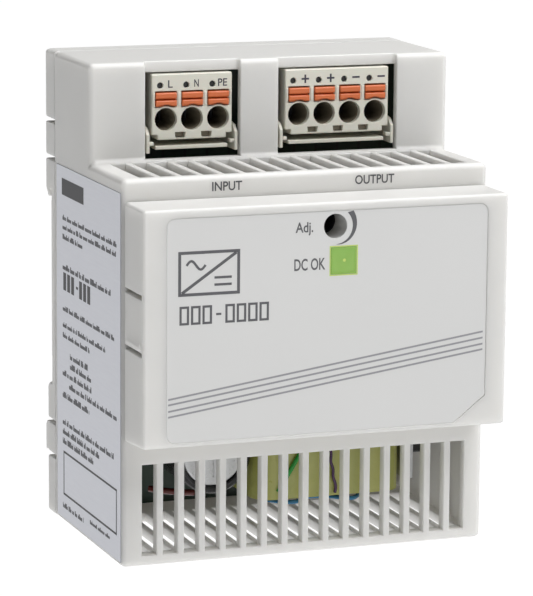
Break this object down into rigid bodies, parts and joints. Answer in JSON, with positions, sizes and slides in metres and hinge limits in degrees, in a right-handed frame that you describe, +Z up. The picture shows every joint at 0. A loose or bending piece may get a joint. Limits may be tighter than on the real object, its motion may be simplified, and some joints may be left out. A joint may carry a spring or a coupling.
{
  "type": "din rail power supply",
  "caption": "Power supply for a 35 mm rail: stepped vented housing, pluggable push-in terminals with orange buttons, clip-on front with trimmer hole and status window, sliding rail foot.",
  "frame": {"origin": "middle of the underside of the bounding box, between the front of the nose and the hooks at the back", "axes": "+X to the right seen from the front, +Y from the front to the rail, +Z up"},
  "size_m": [0.072, 0.059, 0.091],
  "materials": {
    "housing": "fine matt moulded texture, light grey",
    "front_foil": "matt printed foil, light grey",
    "status_window": "translucent green",
    "led": "clear green resin",
    "label": "silver-grey film with dark print",
    "spring_steel": "bright drawn wire and strip",
    "zinc_steel": "bright zinc plating",
    "tinned_copper": "tin plating",
    "board": "glass-epoxy with green solder mask",
    "insulation": "thin polycarbonate sheet",
    "connector": "satin moulded polyamide, light beige-grey",
    "push_button": "satin moulded, orange",
    "trimmer_blue": "moulded, blue",
    "trimmer_white": "moulded, off-white",
    "black_plastic": "moulded epoxy, black",
    "thermistor": "dipped lacquer, dark green",
    "capacitor_box": "moulded box, yellow",
    "capacitor_sleeve": "shrunk sleeve, black, bare aluminium top",
    "ferrite": "sintered ferrite, dark grey",
    "enamelled_copper": "enamelled copper wire",
    "yellow_tape": "polyester tape, yellow",
    "aluminium": "extruded, plain"
  },
  "bodies": {
    "housing": {"rear_housing": "housing", "main_shell": "housing", "front_cover": "housing", "front_panel": "front_foil", "status_window": "status_window", "status_led": "led", "rating_label": "label", "rail_foot_spring": "spring_steel", "main_board": "board", "signal_board": "board", "insulating_sheet": "insulation", "board_screw_1": "zinc_steel", "board_screw_2": "zinc_steel", "input_header": "connector", "output_header": "connector", "input_pin_1": "tinned_copper", "input_pin_2": "tinned_copper", "input_pin_3": "tinned_copper", "output_pin_1": "tinned_copper", "output_pin_2": "tinned_copper", "output_pin_3": "tinned_copper", "output_pin_4": "tinned_copper", "trimmer_body": "trimmer_blue", "fuse": "black_plastic", "inrush_thermistor": "thermistor", "x_capacitor": "capacitor_box", "line_choke_core": "ferrite", "line_choke_winding": "enamelled_copper", "bridge_rectifier": "black_plastic", "bulk_capacitor": "capacitor_sleeve", "main_heatsink": "aluminium", "power_transistor": "black_plastic", "controller_chip": "black_plastic", "optocoupler": "black_plastic", "transformer_core": "ferrite", "transformer_winding": "enamelled_copper", "transformer_tape": "yellow_tape", "output_heatsink": "aluminium", "output_diode": "black_plastic", "output_capacitor": "capacitor_sleeve", "output_inductor": "enamelled_copper"},
    "rail_foot": {"rail_foot": "housing"},
    "input_plug": {"input_plug": "connector", "input_clamp_1": "spring_steel", "input_clamp_2": "spring_steel", "input_clamp_3": "spring_steel"},
    "output_plug": {"output_plug": "connector", "output_clamp_1": "spring_steel", "output_clamp_2": "spring_steel", "output_clamp_3": "spring_steel", "output_clamp_4": "spring_steel"},
    "trimmer_rotor": {"trimmer_rotor": "trimmer_white"},
    "input_button_1": {"input_button_1": "push_button"},
    "input_button_2": {"input_button_2": "push_button"},
    "input_button_3": {"input_button_3": "push_button"},
    "output_button_1": {"output_button_1": "push_button"},
    "output_button_2": {"output_button_2": "push_button"},
    "output_button_3": {"output_button_3": "push_button"},
    "output_button_4": {"output_button_4": "push_button"}
  },
  "joints": [
    {"name": "rail_foot_slide", "type": "slide", "parent": "housing", "child": "rail_foot", "axis": [0, 0, -1], "range_m": [0, 0.004], "stiffness_N_per_m": 1500, "springref_m": -0.002, "deforming": ["rail_foot_spring"]},
    {"name": "input_plug_pull", "type": "slide", "parent": "housing", "child": "input_plug", "axis": [0, -1, 0], "range_m": [0, 0.012]},
    {"name": "output_plug_pull", "type": "slide", "parent": "housing", "child": "output_plug", "axis": [0, -1, 0], "range_m": [0, 0.012]},
    {"name": "trimmer_turn", "type": "hinge", "parent": "housing", "child": "trimmer_rotor", "pos_m": [0.00125, -0.0165, 0.0637], "axis": [0, -1, 0], "range_deg": [-130, 130]},
    {"name": "input_button_1_press", "type": "slide", "parent": "input_plug", "child": "input_button_1", "axis": [0, 1, 0], "range_m": [0, 0.0012], "stiffness_N_per_m": 2000, "springref_m": -0.0005},
    {"name": "input_button_2_press", "type": "slide", "parent": "input_plug", "child": "input_button_2", "axis": [0, 1, 0], "range_m": [0, 0.0012], "stiffness_N_per_m": 2000, "springref_m": -0.0005},
    {"name": "input_button_3_press", "type": "slide", "parent": "input_plug", "child": "input_button_3", "axis": [0, 1, 0], "range_m": [0, 0.0012], "stiffness_N_per_m": 2000, "springref_m": -0.0005},
    {"name": "output_button_1_press", "type": "slide", "parent": "output_plug", "child": "output_button_1", "axis": [0, 1, 0], "range_m": [0, 0.0012], "stiffness_N_per_m": 2000, "springref_m": -0.0005},
    {"name": "output_button_2_press", "type": "slide", "parent": "output_plug", "child": "output_button_2", "axis": [0, 1, 0], "range_m": [0, 0.0012], "stiffness_N_per_m": 2000, "springref_m": -0.0005},
    {"name": "output_button_3_press", "type": "slide", "parent": "output_plug", "child": "output_button_3", "axis": [0, 1, 0], "range_m": [0, 0.0012], "stiffness_N_per_m": 2000, "springref_m": -0.0005},
    {"name": "output_button_4_press", "type": "slide", "parent": "output_plug", "child": "output_button_4", "axis": [0, 1, 0], "range_m": [0, 0.0012], "stiffness_N_per_m": 2000, "springref_m": -0.0005}
  ]
}
